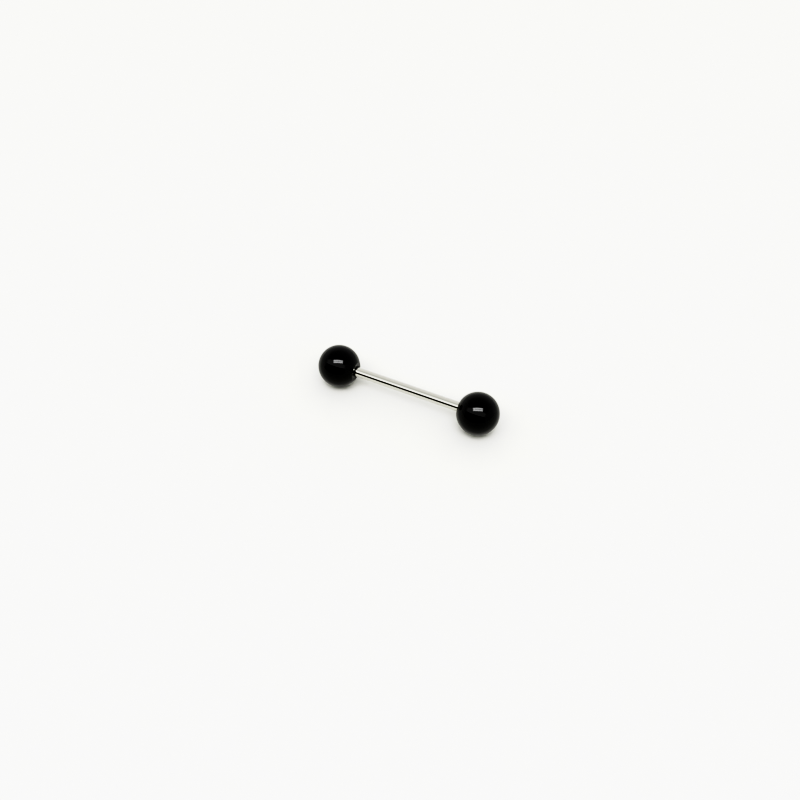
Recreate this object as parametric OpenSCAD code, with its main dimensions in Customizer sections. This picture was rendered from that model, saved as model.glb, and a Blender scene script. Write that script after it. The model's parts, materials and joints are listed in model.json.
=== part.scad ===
// A straight tongue barbell: a polished steel bar with a black ball on each end.
// The bar lies along X. The floor is z = 0, where the two balls rest, and x = 0 is
// halfway between them. Each ball slides off outwards along the bar's axis.

/* [Bar] */
// Diameter of the shank that sits in the piercing
bar_d = 1.4; // [1.2:0.1:2.2]
// Length of the shank from shoulder to shoulder
shank_len = 16; // [8:1:28]
// Radius that rounds the shank's edge at each shoulder
shoulder_round = 0.05; // [0.02:0.01:0.08]

/* [Posts] */
// Diameter of the plain post at each end of the shank
post_d = 1; // [0.7:0.1:1.1]
// Length of each post from its shoulder to its tip
post_len = 3.2; // [2:0.1:3.6]
// Height and depth of the chamfer at the post's tip
post_chamfer = 0.15; // [0.05:0.05:0.3]

/* [Balls] */
// Diameter of each ball
ball_d = 6; // [5:0.5:8]
// Diameter of the flat face round the ball's mouth
flat_d = 2.7; // [2:0.1:3.4]
// Depth of the seat's floor below the flat face
seat_depth = 0.12; // [0.08:0.02:0.3]
// Angle between the seat's flared wall and the ball's axis
seat_flare = 45; // [0:5:50]
// Angle of the cone that the drill leaves at the end of the bore
drill_angle = 118; // [90:1:140]

/* [Clearances] */
// Gap all round between the shank's end and the foot of the seat's wall
seat_gap = 0.06; // [0.02:0.01:0.1]
// Gap between the shank's shoulder and the floor of its seat
shoulder_gap = 0.02; // [0.01:0.01:0.1]
// Gap all round between a post and its bore
bore_gap = 0.03; // [0.01:0.01:0.08]
// Straight depth of the bore beyond the post's tip
tip_gap = 0.3; // [0.1:0.1:0.6]

/* [Hidden] */
$fn = 128;

ball_r = ball_d / 2;
seat_r = bar_d / 2 + seat_gap;
mouth_r = seat_r + seat_depth * tan(seat_flare);
bore_r = post_d / 2 + bore_gap;

// These lie this far from the ball's centre, towards the bar
face = sqrt(pow(ball_r, 2) - pow(flat_d / 2, 2));
seat_floor = face - seat_depth;
bore_end = seat_floor + shoulder_gap - post_len - tip_gap;

// The ball's centre stands out from the shoulder by the seat's floor and the gap
ball_x = shank_len / 2 + shoulder_gap + seat_floor;

// Half of the bar's outline: distance from the axis, then distance along it
module half_bar_outline() {
    shank_end = shank_len / 2;
    post_end = shank_end + post_len;
    square([bar_d / 2, shank_end - shoulder_round]);
    square([bar_d / 2 - shoulder_round, shank_end]);
    translate([bar_d / 2 - shoulder_round, shank_end - shoulder_round])
        intersection() {
            circle(r = shoulder_round);
            square(shoulder_round);
        }
    polygon([
        [0, 0],
        [post_d / 2, 0],
        [post_d / 2, post_end - post_chamfer],
        [post_d / 2 - post_chamfer, post_end],
        [0, post_end],
    ]);
}

module bar() {
    color("silver")
        translate([0, 0, ball_r])
            rotate([0, 90, 0])
                rotate_extrude() {
                    half_bar_outline();
                    mirror([0, 1]) half_bar_outline();
                }
}

// What is cut from the ball's outline: the bore, the flared seat and all beyond the face
module mouth_outline() {
    drill_depth = bore_r / tan(drill_angle / 2);
    polygon([
        [0, bore_end - drill_depth],
        [bore_r, bore_end],
        [bore_r, seat_floor],
        [seat_r, seat_floor],
        [mouth_r, face],
        [ball_r, face],
        [ball_r, ball_d],
        [0, ball_d],
    ]);
}

// One ball round the origin, with its mouth towards +X
module ball() {
    rotate([0, 90, 0])
        rotate_extrude()
            difference() {
                intersection() {
                    circle(r = ball_r);
                    translate([0, -ball_r]) square([ball_r, ball_d]);
                }
                mouth_outline();
            }
}

module ball_left() {
    color([0.04, 0.04, 0.045])
        translate([-ball_x, 0, ball_r])
            ball();
}

module ball_right() {
    color([0.04, 0.04, 0.045])
        translate([ball_x, 0, ball_r])
            rotate([0, 0, 180])
                ball();
}

bar();
ball_left();
ball_right();
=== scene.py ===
"""A tongue barbell lying on white: a polished steel bar and two gloss black balls.

The bar lies along X and the two balls rest on the floor, z = 0. The object's sizes and the
camera's place are in millimetres and are turned into metres where they meet the scene. The
sizes and places of the floor and the lights are in metres. Angles are in degrees.
"""
import json
import math

import bmesh
import bpy
from mathutils import Matrix, Vector


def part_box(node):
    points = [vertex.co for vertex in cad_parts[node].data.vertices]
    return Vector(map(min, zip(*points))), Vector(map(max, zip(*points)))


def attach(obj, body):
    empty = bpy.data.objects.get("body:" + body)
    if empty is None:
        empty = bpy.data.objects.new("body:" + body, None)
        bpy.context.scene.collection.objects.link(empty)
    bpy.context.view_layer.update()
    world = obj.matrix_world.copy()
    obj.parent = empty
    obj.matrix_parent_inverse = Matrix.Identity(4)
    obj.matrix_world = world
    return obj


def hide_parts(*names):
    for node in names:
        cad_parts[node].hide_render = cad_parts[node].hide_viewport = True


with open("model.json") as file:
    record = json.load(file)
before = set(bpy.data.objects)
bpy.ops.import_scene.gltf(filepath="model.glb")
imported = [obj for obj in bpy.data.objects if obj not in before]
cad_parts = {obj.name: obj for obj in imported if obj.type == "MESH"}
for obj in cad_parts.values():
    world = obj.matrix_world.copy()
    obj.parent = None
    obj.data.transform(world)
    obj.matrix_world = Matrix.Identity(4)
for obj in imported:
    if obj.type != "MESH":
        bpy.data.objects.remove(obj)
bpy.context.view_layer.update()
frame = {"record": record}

MM = 0.001

# Sizes of the object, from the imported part
shank_mount = frame["record"]["mounts"][0]
left_low, left_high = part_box("ball_left")
right_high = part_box("ball_right")[1]
bar_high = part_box("bar")[1]
BALL_R = (left_high.y - left_low.y) / 2 / MM
BALL_X = right_high.x / MM - BALL_R
BAR_R = shank_mount["dims"]["r_mm"]
BAR_TIP = bar_high.x / MM
AXIS_Z = shank_mount["pos_m"][2] / MM

# The bar's ends and the balls' mouths, the same as in the part's source
POST_LEN = 3.2
POST_R = 0.5
POST_CHAMFER = 0.15
SHOULDER_ROUND = 0.05
SHOULDER_GAP = 0.02
FLAT_R = 1.35
MOUTH_R = 0.88
SEAT_R = 0.76
SEAT_DEPTH = 0.12
BORE_R = 0.53
TIP_GAP = 0.3
DRILL_ANGLE = 118

# How far from an edge the curve begins that eases it
EDGE_REACH = 0.03

# The screw thread on each post, and its grooves in each ball's bore
THREAD_PITCH = 0.25
THREAD_DEPTH = 0.12
BORE_THREAD_DEPTH = 0.07
THREAD_START = 0.25
CREST_SHARE = 1 / 8
ROOT_SHARE = 1 / 4

# How finely the shapes are cut, round the axis and along each stretch of an outline
BAR_SEGMENTS = 96
BALL_SEGMENTS = 128
SHANK_STEPS = 24
ROUND_STEPS = 6
SHOULDER_STEPS = 2
CHAMFER_STEPS = 6
TIP_STEPS = 3
SPHERE_STEPS = 110
EASED_STEPS = 4
FACE_STEPS = 3
SEAT_STEPS = 2
DRILL_STEPS = 4
STATIONS_PER_PITCH = 12

# Edges that turn by more than this stay sharp
SHARP_ANGLE = 35

# Distances from the axis that differ by less than this count as the same
NEAR = 0.001

# The camera, where the photograph's stood
CAMERA_AZIMUTH = 24.9
CAMERA_ELEVATION = 48.8
CAMERA_DISTANCE = 124.95
CAMERA_LENS = 40.5
SENSOR_WIDTH = 36
VIEW_RIGHT = 0.972
VIEW_UP = 1.525

# The nearest and the farthest that the camera sees, in metres
CLIP_START = 0.005
CLIP_END = 10

# The photograph's contrast: what goes in and what comes out, both in linear light
TONE_CURVE = [
    (0.0, 0.0),
    (0.04, 0.0003),
    (0.048, 0.0013),
    (0.056, 0.0032),
    (0.08, 0.009),
    (0.12, 0.034),
    (0.16, 0.067),
    (0.2, 0.105),
    (0.24, 0.165),
    (0.317, 0.315),
    (0.428, 0.51),
    (0.525, 0.66),
    (0.61, 0.752),
    (0.717, 0.822),
    (0.824, 0.867),
    (1.0, 0.948),
]

# Of a view's four curves, the one that acts on all colours
COMBINED_CURVE = 3

# Colours, and roughness from low to high
STEEL_DARK = (0.545, 0.541, 0.511, 1)
STEEL_LIGHT = (0.575, 0.571, 0.54, 1)
# The steel's painted shade, deepest at the roots of the thread's grooves
STEEL_GROOVE_SHADE = (0.2, 0.197, 0.185, 1)
STEEL_ROUGHNESS = (0.03, 0.065)
ACRYLIC_DARK = (0.0018, 0.0018, 0.0022, 1)
ACRYLIC_LIGHT = (0.0032, 0.0032, 0.0038, 1)
ACRYLIC_ROUGHNESS = (0.03, 0.06)
ACRYLIC_IOR = 1.49
TABLE_DARK = (0.76, 0.76, 0.733, 1)
TABLE_LIGHT = (0.78, 0.78, 0.752, 1)
TABLE_ROUGHNESS = 0.6
TABLE_SPECULAR = 0.3

# Most of a noise texture's values lie between these two
NOISE_LOW = 0.35
NOISE_HIGH = 0.65

# What the tent sends out by the angle round the bar, from the front over the top
TENT_BANDS = [
    (0, 0.03),
    (34.5, 0.02),
    (40.5, 1.5),
    (64, 1.5),
    (74, 0.73),
    (98, 0.745),
    (112, 0.845),
    (135, 0.947),
    (160, 1.0),
]
HALF_TURN = 180

# The tent's two ends: what they send out, and how far along X they begin and are full
TENT_SIDE = 1.0
SIDE_START = 0.7
SIDE_FULL = 0.85

TINT = (1.0, 0.998, 0.975)
BACKDROP = (0.985, 0.985, 0.96, 1)

# The floor reaches this far from the middle each way
FLOOR_REACH = 1.0
FLOOR_SEGMENTS = 4

# The strips that the balls mirror, by how far above the camera each one stands
STRIP_TILTS = {"strip_high": 26.2, "strip_low": 16.8}
STRIP_RADIANCE = 7.8
STRIP_HALF_HEIGHT = 4.05
STRIP_HALF_WIDTH = 25
STRIP_TURN = 3.4
STRIP_ROLL = 3
STRIP_DISTANCE = 0.4

# The wide light from straight above
FILL_SIZE = 1.8
FILL_POWER = 2.15 * math.pi
FILL_HEIGHT = 2.1


# Camera


def camera_axes():
    """Which way is right, up and forward in the picture."""
    azimuth = math.radians(CAMERA_AZIMUTH)
    elevation = math.radians(CAMERA_ELEVATION)
    right = Vector((math.cos(azimuth), math.sin(azimuth), 0))
    forward = Vector((
        -math.sin(azimuth) * math.cos(elevation),
        math.cos(azimuth) * math.cos(elevation),
        -math.sin(elevation),
    ))
    return right, right.cross(forward), forward


def placed(place, right, up, back):
    """The matrix of a camera or light at a place in metres, which looks away from back."""
    return Matrix.Translation(place) @ Matrix((right, up, back)).transposed().to_4x4()


def add_camera():
    right, up, forward = camera_axes()
    middle = Vector((0, 0, AXIS_Z))
    place = middle - VIEW_RIGHT * right - VIEW_UP * up - CAMERA_DISTANCE * forward
    data = bpy.data.cameras.new("photo_camera")
    data.lens = CAMERA_LENS
    data.sensor_width = SENSOR_WIDTH
    data.clip_start = CLIP_START
    data.clip_end = CLIP_END
    camera = bpy.data.objects.new("photo_camera", data)
    camera.matrix_world = placed(place * MM, right, up, -forward)
    bpy.context.scene.collection.objects.link(camera)
    bpy.context.scene.camera = camera


# Turned shapes


def arc(centre, radius, start, end, steps):
    """Points (along, out) on an arc, with angles in degrees from the along direction."""
    points = []
    for i in range(steps + 1):
        angle = math.radians(start + (end - start) * i / steps)
        along = centre[0] + radius * math.cos(angle)
        out = centre[1] + radius * math.sin(angle)
        points.append((along, out))
    return points


def line(start, end, steps):
    """Points after start, up to and with end."""
    points = []
    for i in range(1, steps + 1):
        share = i / steps
        along = start[0] + (end[0] - start[0]) * share
        out = start[1] + (end[1] - start[1]) * share
        points.append((along, out))
    return points


def eased(before, corner, after, reach):
    """Points on a small curve in place of a corner, from reach before it to reach after."""
    before, corner, after = Vector(before), Vector(corner), Vector(after)
    start = corner + (before - corner).normalized() * reach
    end = corner + (after - corner).normalized() * reach
    points = []
    for i in range(EASED_STEPS + 1):
        share = i / EASED_STEPS
        spot = start * (1 - share) ** 2 + corner * 2 * share * (1 - share) + end * share ** 2
        points.append(tuple(spot))
    return points


def turned(name, outline, segments, place, direction, relief):
    """A closed solid of revolution round X through place.

    The outline runs from pole to pole as (along, out) in millimetres, and direction, 1 or -1,
    says which way along points. relief(along, out, turn) moves a point in or out, with turn
    from 0 to 1 round the axis, and the groove attribute keeps how deep.
    """
    mesh = bmesh.new()
    groove = mesh.verts.layers.float.new("groove")
    rings = []
    for along, out in outline[1:-1]:
        ring = []
        for segment in range(segments):
            turn = segment / segments
            shift = relief(along, out, turn)
            radius = out + shift
            angle = 2 * math.pi * turn
            spot = Vector((direction * along, radius * math.cos(angle), radius * math.sin(angle)))
            vertex = mesh.verts.new((spot + place) * MM)
            vertex[groove] = min(abs(shift) / THREAD_DEPTH, 1)
            ring.append(vertex)
        rings.append(ring)
    first = mesh.verts.new((Vector((direction * outline[0][0], 0, 0)) + place) * MM)
    last = mesh.verts.new((Vector((direction * outline[-1][0], 0, 0)) + place) * MM)
    for here in range(segments):
        after = (here + 1) % segments
        mesh.faces.new((first, rings[0][after], rings[0][here]))
        for ring, beyond in zip(rings, rings[1:]):
            mesh.faces.new((ring[here], ring[after], beyond[after], beyond[here]))
        mesh.faces.new((last, rings[-1][here], rings[-1][after]))
    bmesh.ops.recalc_face_normals(mesh, faces=mesh.faces)
    data = bpy.data.meshes.new(name)
    mesh.to_mesh(data)
    mesh.free()
    data.shade_smooth()
    data.set_sharp_from_angle(angle=math.radians(SHARP_ANGLE))
    piece = bpy.data.objects.new(name, data)
    bpy.context.scene.collection.objects.link(piece)
    return piece


def thread_wave(along, turn):
    """The depth of a right-hand thread's groove here, from 0 at a crest to 1 at a root."""
    phase = (along / THREAD_PITCH - turn) % 1
    from_crest = abs(2 * phase - 1)
    return min(max((from_crest - CREST_SHARE) / (1 - CREST_SHARE - ROOT_SHARE), 0), 1)


def thread_steps(length):
    """How many steps a threaded stretch is cut into."""
    return round(length / THREAD_PITCH * STATIONS_PER_PITCH)


def add_bar():
    shoulder = BAR_TIP - POST_LEN
    round_start = shoulder - SHOULDER_ROUND
    chamfer_start = BAR_TIP - POST_CHAMFER

    def half_outline():
        """From the middle of the bar out to its tip."""
        round_centre = (round_start, BAR_R - SHOULDER_ROUND)
        points = [(0, BAR_R)]
        points += line(points[-1], (round_start, BAR_R), SHANK_STEPS)
        points += arc(round_centre, SHOULDER_ROUND, 90, 0, ROUND_STEPS)[1:]
        points += line(points[-1], (shoulder, POST_R), SHOULDER_STEPS)
        points += line(points[-1], (chamfer_start, POST_R), thread_steps(POST_LEN - POST_CHAMFER))
        points += line(points[-1], (BAR_TIP, POST_R - POST_CHAMFER), CHAMFER_STEPS)
        points += line(points[-1], (BAR_TIP, 0), TIP_STEPS)
        return points

    right_half = half_outline()
    left_half = [(-along, out) for along, out in reversed(right_half[1:])]

    def relief(along, out, turn):
        reach = abs(along) - shoulder
        if reach <= 0 or out < POST_R - POST_CHAMFER - NEAR:
            return 0
        runout = min(max((reach - THREAD_START) / THREAD_PITCH, 0), 1)
        root = POST_R - THREAD_DEPTH * runout * thread_wave(along, turn)
        return min(root - out, 0)

    place = Vector((0, 0, AXIS_Z))
    return turned("bar_threaded", left_half + right_half, BAR_SEGMENTS, place, 1, relief)


def add_ball(name, side):
    """A ball with its mouth towards the bar. side is -1 on the left and 1 on the right."""
    face = math.sqrt(BALL_R ** 2 - FLAT_R ** 2)
    seat_floor = face - SEAT_DEPTH
    bore_end = seat_floor + SHOULDER_GAP - POST_LEN - TIP_GAP
    bore_len = seat_floor - bore_end
    drill_depth = BORE_R / math.tan(math.radians(DRILL_ANGLE / 2))
    face_angle = math.degrees(math.asin(FLAT_R / BALL_R))
    edge_angle = face_angle + math.degrees(EDGE_REACH / BALL_R)

    outline = arc((0, 0), BALL_R, HALF_TURN, edge_angle, SPHERE_STEPS)
    outline += eased(outline[-1], (face, FLAT_R), (face, MOUTH_R), EDGE_REACH)[1:]
    outline += line(outline[-1], (face, MOUTH_R + EDGE_REACH), FACE_STEPS)
    outline += eased(outline[-1], (face, MOUTH_R), (seat_floor, SEAT_R), EDGE_REACH)[1:]
    outline += line(outline[-1], (seat_floor, SEAT_R), SEAT_STEPS)
    outline += line(outline[-1], (seat_floor, BORE_R), SEAT_STEPS)
    outline += line(outline[-1], (bore_end, BORE_R), thread_steps(bore_len))
    outline += line(outline[-1], (bore_end - drill_depth, 0), DRILL_STEPS)

    def relief(along, out, turn):
        reach = seat_floor - along
        if abs(out - BORE_R) > NEAR or not THREAD_PITCH < reach < bore_len - THREAD_PITCH:
            return 0
        return BORE_THREAD_DEPTH * thread_wave(along, turn)

    place = Vector((side * BALL_X, 0, AXIS_Z))
    return turned(name, outline, BALL_SEGMENTS, place, -side, relief)


# Materials


def new_material(name):
    material = bpy.data.materials.new(name)
    material.use_nodes = True
    nodes = material.node_tree.nodes
    shader = nodes["Principled BSDF"]
    return material, nodes, material.node_tree.links, shader


def noise(nodes, links, cells, detail, stretch=(1, 1, 1)):
    """Noise fixed to the object, with this many cells per millimetre."""
    place = nodes.new("ShaderNodeTexCoord")
    mapping = nodes.new("ShaderNodeMapping")
    mapping.inputs["Scale"].default_value = [cells / MM * share for share in stretch]
    texture = nodes.new("ShaderNodeTexNoise")
    texture.inputs["Scale"].default_value = 1
    texture.inputs["Detail"].default_value = detail
    links.new(place.outputs["Object"], mapping.inputs["Vector"])
    links.new(mapping.outputs["Vector"], texture.inputs["Vector"])
    return texture.outputs["Fac"]


def remap(nodes, links, value, low, high):
    """Stretches noise to run from low to high."""
    spread = nodes.new("ShaderNodeMapRange")
    spread.inputs["From Min"].default_value = NOISE_LOW
    spread.inputs["From Max"].default_value = NOISE_HIGH
    spread.inputs["To Min"].default_value = low
    spread.inputs["To Max"].default_value = high
    links.new(value, spread.inputs["Value"])
    return spread.outputs["Result"]


def patchy(nodes, links, pattern, dark, light):
    """A colour that goes from dark to light with the pattern."""
    colour = nodes.new("ShaderNodeMix")
    colour.data_type = "RGBA"
    colour.inputs["A"].default_value = dark
    colour.inputs["B"].default_value = light
    links.new(pattern, colour.inputs["Factor"])
    return colour.outputs["Result"]


def bump(nodes, links, height, distance, strength, under=None):
    """Small relief on the surface, on top of the relief under it. distance is in millimetres."""
    node = nodes.new("ShaderNodeBump")
    node.inputs["Strength"].default_value = strength
    node.inputs["Distance"].default_value = distance * MM
    links.new(height, node.inputs["Height"])
    if under is not None:
        links.new(under, node.inputs["Normal"])
    return node.outputs["Normal"]


def polished_steel():
    material, nodes, links, shader = new_material("polished_steel")
    shader.inputs["Metallic"].default_value = 1
    tint = noise(nodes, links, cells=0.5, detail=3)
    colour = patchy(nodes, links, tint, STEEL_DARK, STEEL_LIGHT)
    # Painted shade: the base colour darkens with how deep the thread's grooves are
    depth = nodes.new("ShaderNodeAttribute")
    depth.attribute_name = "groove"
    threaded = nodes.new("ShaderNodeMix")
    threaded.data_type = "RGBA"
    threaded.inputs["B"].default_value = STEEL_GROOVE_SHADE
    links.new(depth.outputs["Fac"], threaded.inputs["Factor"])
    links.new(colour, threaded.inputs["A"])
    links.new(threaded.outputs["Result"], shader.inputs["Base Color"])
    smears = noise(nodes, links, cells=1.2, detail=4, stretch=(0.35, 1, 1))
    links.new(remap(nodes, links, smears, *STEEL_ROUGHNESS), shader.inputs["Roughness"])
    scratches = noise(nodes, links, cells=14, detail=2, stretch=(0.03, 1, 1))
    waves = noise(nodes, links, cells=0.6, detail=1, stretch=(0.5, 1, 1))
    normal = bump(nodes, links, waves, distance=0.004, strength=0.6)
    normal = bump(nodes, links, scratches, distance=0.0006, strength=0.5, under=normal)
    links.new(normal, shader.inputs["Normal"])
    return material


def black_acrylic():
    material, nodes, links, shader = new_material("black_acrylic")
    shader.inputs["IOR"].default_value = ACRYLIC_IOR
    grain = noise(nodes, links, cells=0.8, detail=2)
    colour = patchy(nodes, links, grain, ACRYLIC_DARK, ACRYLIC_LIGHT)
    links.new(colour, shader.inputs["Base Color"])
    handled = noise(nodes, links, cells=1.1, detail=4)
    links.new(remap(nodes, links, handled, *ACRYLIC_ROUGHNESS), shader.inputs["Roughness"])
    moulded = noise(nodes, links, cells=0.45, detail=1)
    normal = bump(nodes, links, moulded, distance=0.004, strength=0.6)
    links.new(normal, shader.inputs["Normal"])
    return material


def white_table():
    material, nodes, links, shader = new_material("white_table")
    shader.inputs["Roughness"].default_value = TABLE_ROUGHNESS
    shader.inputs["Specular IOR Level"].default_value = TABLE_SPECULAR
    fibres = noise(nodes, links, cells=0.5, detail=6)
    colour = patchy(nodes, links, fibres, TABLE_DARK, TABLE_LIGHT)
    links.new(colour, shader.inputs["Base Color"])
    return material


# Surroundings


def add_floor():
    mesh = bmesh.new()
    bmesh.ops.create_grid(
        mesh, x_segments=FLOOR_SEGMENTS, y_segments=FLOOR_SEGMENTS, size=FLOOR_REACH
    )
    data = bpy.data.meshes.new("floor")
    mesh.to_mesh(data)
    mesh.free()
    floor = bpy.data.objects.new("floor", data)
    floor.data.materials.append(white_table())
    bpy.context.scene.collection.objects.link(floor)


def tinted(strength):
    """The tent's colour at this strength."""
    return (*(strength * channel for channel in TINT), 1)


def add_world():
    """A pale tent round the object, with a dark opening in front and a plain backdrop."""
    world = bpy.data.worlds.new("tent")
    world.use_nodes = True
    bpy.context.scene.world = world
    nodes = world.node_tree.nodes
    links = world.node_tree.links
    background = nodes["Background"]
    direction = nodes.new("ShaderNodeTexCoord")
    split = nodes.new("ShaderNodeSeparateXYZ")
    links.new(direction.outputs["Generated"], split.inputs["Vector"])

    def math_node(operation, first, second=None):
        node = nodes.new("ShaderNodeMath")
        node.operation = operation
        for socket, value in zip(node.inputs, (first, second)):
            if isinstance(value, (int, float)):
                socket.default_value = value
            elif value is not None:
                links.new(value, socket)
        return node.outputs["Value"]

    # From 0 at the front to 1 at the back, over the top
    forwards = math_node("MULTIPLY", split.outputs["Y"], -1)
    angle = math_node("DIVIDE", math_node("ARCTAN2", split.outputs["Z"], forwards), math.pi)
    bands = nodes.new("ShaderNodeValToRGB")
    elements = bands.color_ramp.elements
    while len(elements) < len(TENT_BANDS):
        elements.new(0.5)
    for element, (degrees, strength) in zip(elements, TENT_BANDS):
        element.position = degrees / HALF_TURN
        element.color = tinted(strength)
    links.new(angle, bands.inputs["Fac"])

    sideways = math_node("ABSOLUTE", split.outputs["X"])
    side = nodes.new("ShaderNodeMapRange")
    side.interpolation_type = "SMOOTHSTEP"
    side.inputs["From Min"].default_value = SIDE_START
    side.inputs["From Max"].default_value = SIDE_FULL
    links.new(sideways, side.inputs["Value"])
    blend = nodes.new("ShaderNodeMix")
    blend.data_type = "RGBA"
    links.new(side.outputs["Result"], blend.inputs["Factor"])
    links.new(bands.outputs["Color"], blend.inputs["A"])
    blend.inputs["B"].default_value = tinted(TENT_SIDE)
    links.new(blend.outputs["Result"], background.inputs["Color"])
    background.inputs["Strength"].default_value = 1

    backdrop = nodes.new("ShaderNodeBackground")
    backdrop.inputs["Color"].default_value = BACKDROP
    rays = nodes.new("ShaderNodeLightPath")
    seen = nodes.new("ShaderNodeMixShader")
    links.new(rays.outputs["Is Camera Ray"], seen.inputs["Fac"])
    links.new(background.outputs["Background"], seen.inputs[1])
    links.new(backdrop.outputs["Background"], seen.inputs[2])
    links.new(seen.outputs["Shader"], nodes["World Output"].inputs["Surface"])


def add_strip(
    name,
    radiance,
    tilt_up,
    half_height,
    half_width=STRIP_HALF_WIDTH,
    turn_left=STRIP_TURN,
    distance=STRIP_DISTANCE,
):
    """A flat light that faces the object from above the camera, sized in degrees."""
    right, up, forward = camera_axes()
    tilt = math.radians(tilt_up)
    turn = math.radians(turn_left)
    level = -forward * math.cos(turn) - right * math.sin(turn)
    toward = level * math.cos(tilt) + up * math.sin(tilt)
    data = bpy.data.lights.new(name, "AREA")
    data.shape = "RECTANGLE"
    data.size = 2 * distance * math.tan(math.radians(half_width))
    data.size_y = 2 * distance * math.tan(math.radians(half_height))
    data.energy = radiance * math.pi * data.size * data.size_y
    light = bpy.data.objects.new(name, data)
    spin = math.radians(STRIP_ROLL)
    across = up.cross(toward).normalized()
    light_right = across * math.cos(spin) - toward.cross(across) * math.sin(spin)
    light.matrix_world = placed(toward * distance, light_right, toward.cross(light_right), toward)
    bpy.context.scene.collection.objects.link(light)
    return light


def add_gloss(light, pieces):
    """Lets only these pieces mirror the light, which lights nothing else."""
    mirrors = bpy.data.collections.new(light.name + "_mirrors")
    for piece in pieces:
        mirrors.objects.link(piece)
    light.visible_diffuse = False
    light.light_linking.receiver_collection = mirrors


def add_lights(bar, balls):
    """Two strips for the balls, one for the bar's glint, and two lights for the floor."""
    for name, tilt_up in STRIP_TILTS.items():
        add_gloss(add_strip(name, STRIP_RADIANCE, tilt_up, STRIP_HALF_HEIGHT), balls)
    glint = add_strip(
        "strip_bar", radiance=9, tilt_up=21.5, half_height=8, half_width=8, turn_left=-14
    )
    add_gloss(glint, [bar])
    key = add_strip("key", radiance=3.4, tilt_up=20, half_height=11, distance=1.5)
    key.visible_glossy = False
    fill_data = bpy.data.lights.new("fill", "AREA")
    fill_data.size = FILL_SIZE
    fill_data.energy = FILL_POWER
    fill = bpy.data.objects.new("fill", fill_data)
    fill.location = (0, 0, FILL_HEIGHT)
    fill.visible_glossy = False
    bpy.context.scene.collection.objects.link(fill)


def set_tones():
    """The photograph's strong blacks, by a curve on the whole picture."""
    view = bpy.context.scene.view_settings
    view.view_transform = "Standard"
    view.use_curve_mapping = True
    mapping = view.curve_mapping
    mapping.extend = "HORIZONTAL"
    curve = mapping.curves[COMBINED_CURVE]
    curve.points[0].location = TONE_CURVE[0]
    curve.points[1].location = TONE_CURVE[-1]
    for spot in TONE_CURVE[1:-1]:
        curve.points.new(*spot)
    mapping.update()


# The scene

steel = polished_steel()
acrylic = black_acrylic()

bar = add_bar()
bar.data.materials.append(steel)
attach(bar, "bar")
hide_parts("bar")

balls = []
for name, side in (("ball_left", -1), ("ball_right", 1)):
    ball = add_ball(name + "_turned", side)
    ball.data.materials.append(acrylic)
    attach(ball, name)
    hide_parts(name)
    balls.append(ball)

add_floor()
add_world()
add_lights(bar, balls)
add_camera()
set_tones()
